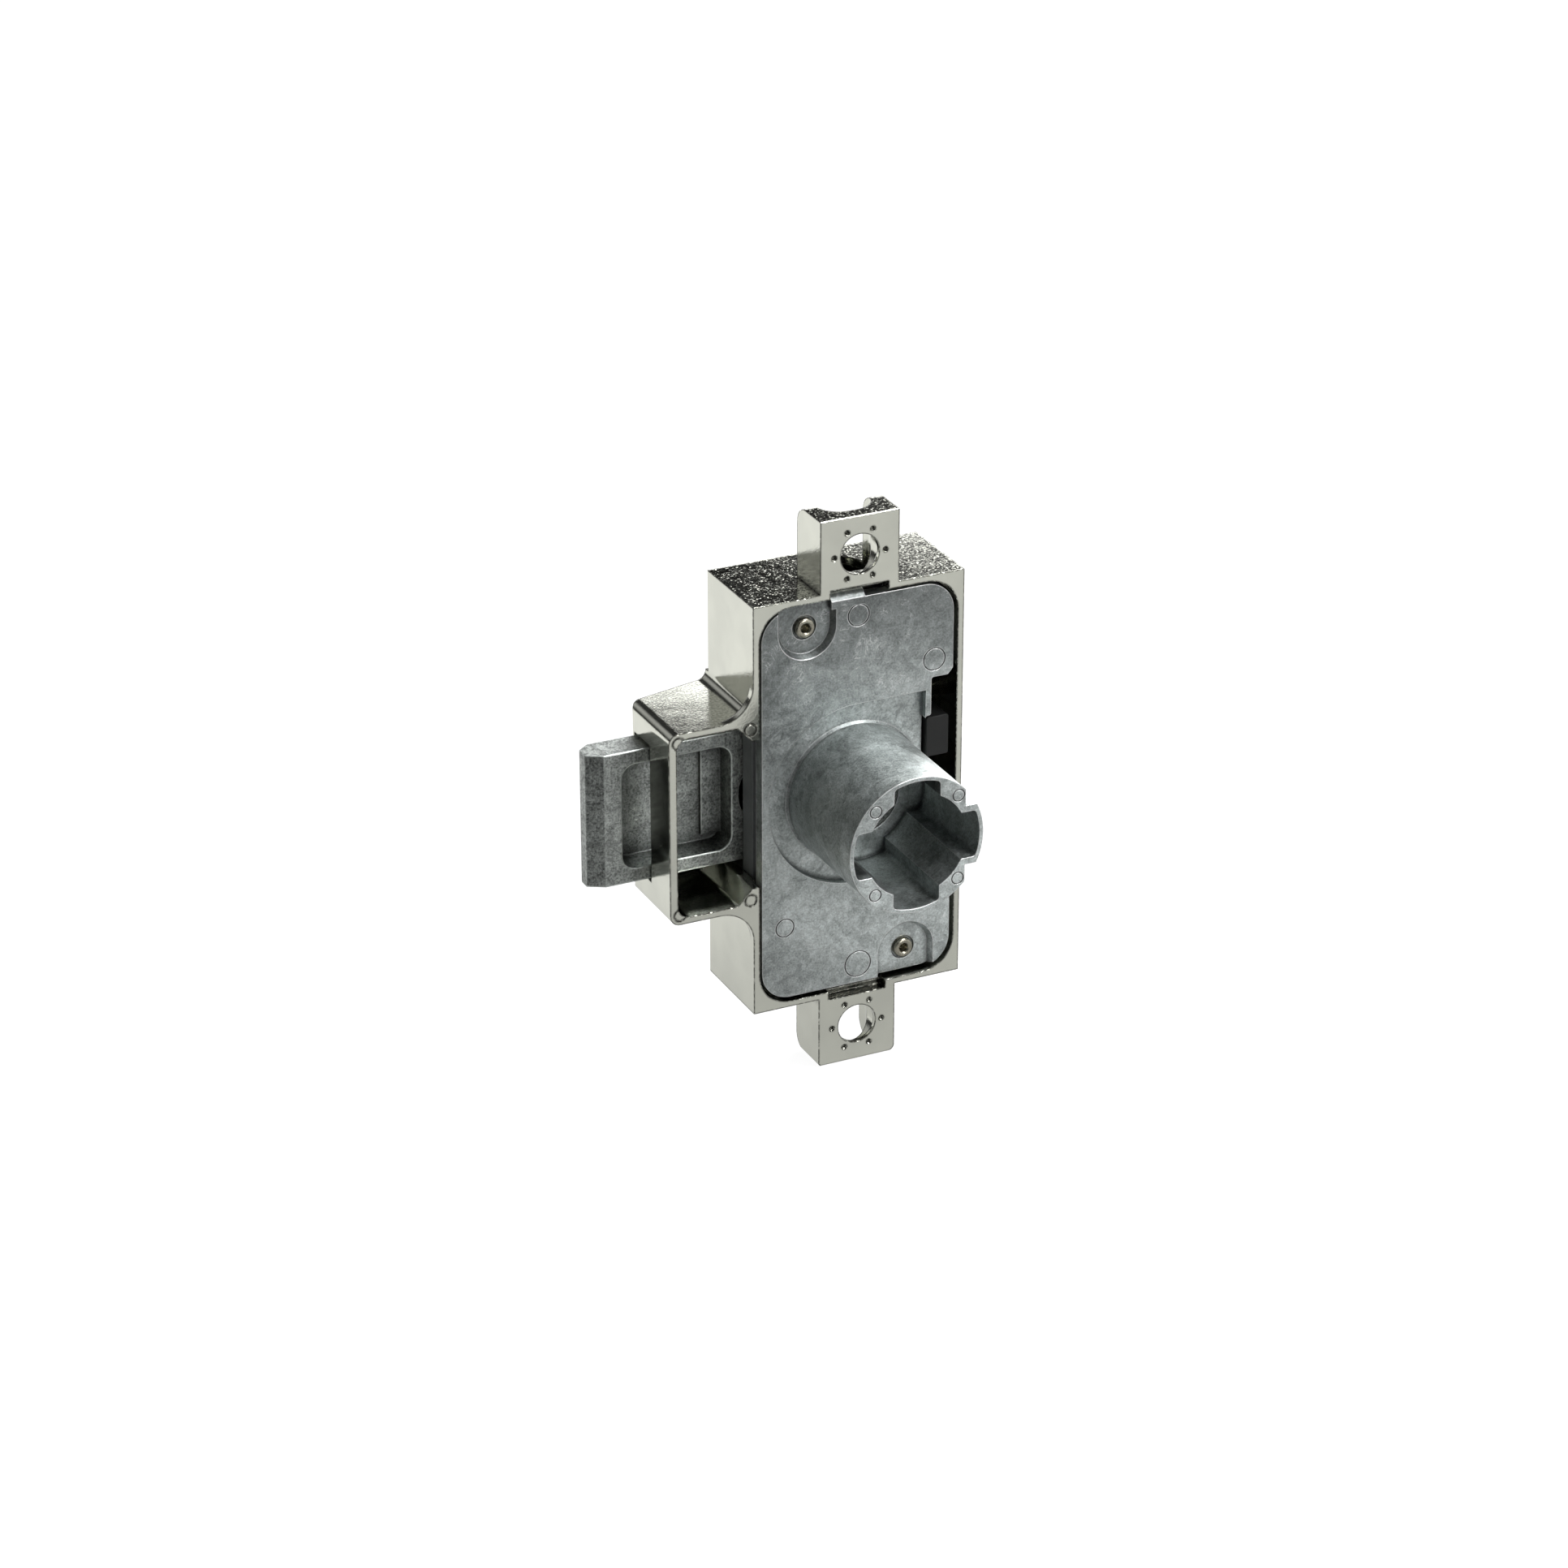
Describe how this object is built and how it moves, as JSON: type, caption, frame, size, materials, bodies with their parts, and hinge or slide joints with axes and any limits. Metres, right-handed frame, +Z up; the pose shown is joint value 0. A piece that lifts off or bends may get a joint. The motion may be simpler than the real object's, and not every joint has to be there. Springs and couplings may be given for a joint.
{
  "type": "espagnolette lock",
  "caption": "Cabinet lock with a thrown side bolt, rod slides above and below, fixing lugs and a long keyed sleeve for a plug-in core.",
  "frame": {"origin": "on the sleeve's axis, in the plane of the case's front rim and of the two fixing lugs", "axes": "+X right seen from the front, +Y back into the lock, +Z up along the case; the sleeve points to -Y and the bolt to -X"},
  "size_m": [0.0478, 0.0299, 0.074],
  "materials": {
    "nickel_plated_zinc": "bright nickel plate",
    "raw_zinc": "raw zinc die-casting, matt grey",
    "steel": "turned steel",
    "spring_steel": "rolled spring steel",
    "black_plastic": "moulded, matt",
    "pale_plastic": "moulded bearing plastic"
  },
  "bodies": {
    "lock_case": {"case": "nickel_plated_zinc", "cover_plate": "raw_zinc", "cover_rivets": "steel", "rear_bush": "pale_plastic", "spring_washer": "spring_steel", "bolt_guide_pin": "steel", "stop_pin": "steel", "detent_spring": "spring_steel"},
    "drive": {"drive_pinion": "raw_zinc", "stop_disc": "steel"},
    "bolt": {"deadbolt": "raw_zinc"},
    "upper_slide": {"upper_rod_slide": "black_plastic", "upper_rod_pin": "steel"},
    "lower_slide": {"lower_rod_slide": "black_plastic", "lower_rod_pin": "steel"}
  },
  "joints": [
    {"name": "drive_turn", "type": "hinge", "parent": "lock_case", "child": "drive", "pos_m": [0, 0, 0], "axis": [0, 1, 0], "range_deg": [0, 180]},
    {"name": "bolt_slide", "type": "slide", "parent": "lock_case", "child": "bolt", "axis": [1, 0, 0], "range_m": [0, 0.00848], "deforming": ["detent_spring"]},
    {"name": "upper_rod_slide", "type": "slide", "parent": "lock_case", "child": "upper_slide", "axis": [0, 0, -1], "range_m": [0, 0.0085]},
    {"name": "lower_rod_slide", "type": "slide", "parent": "lock_case", "child": "lower_slide", "axis": [0, 0, 1], "range_m": [0, 0.0085]}
  ],
  "couplings": [
    {"joint": "drive_turn", "follows": "bolt_slide", "rad_per_m": 370.37},
    {"joint": "upper_rod_slide", "follows": "bolt_slide", "ratio": 1},
    {"joint": "lower_rod_slide", "follows": "bolt_slide", "ratio": 1}
  ]
}
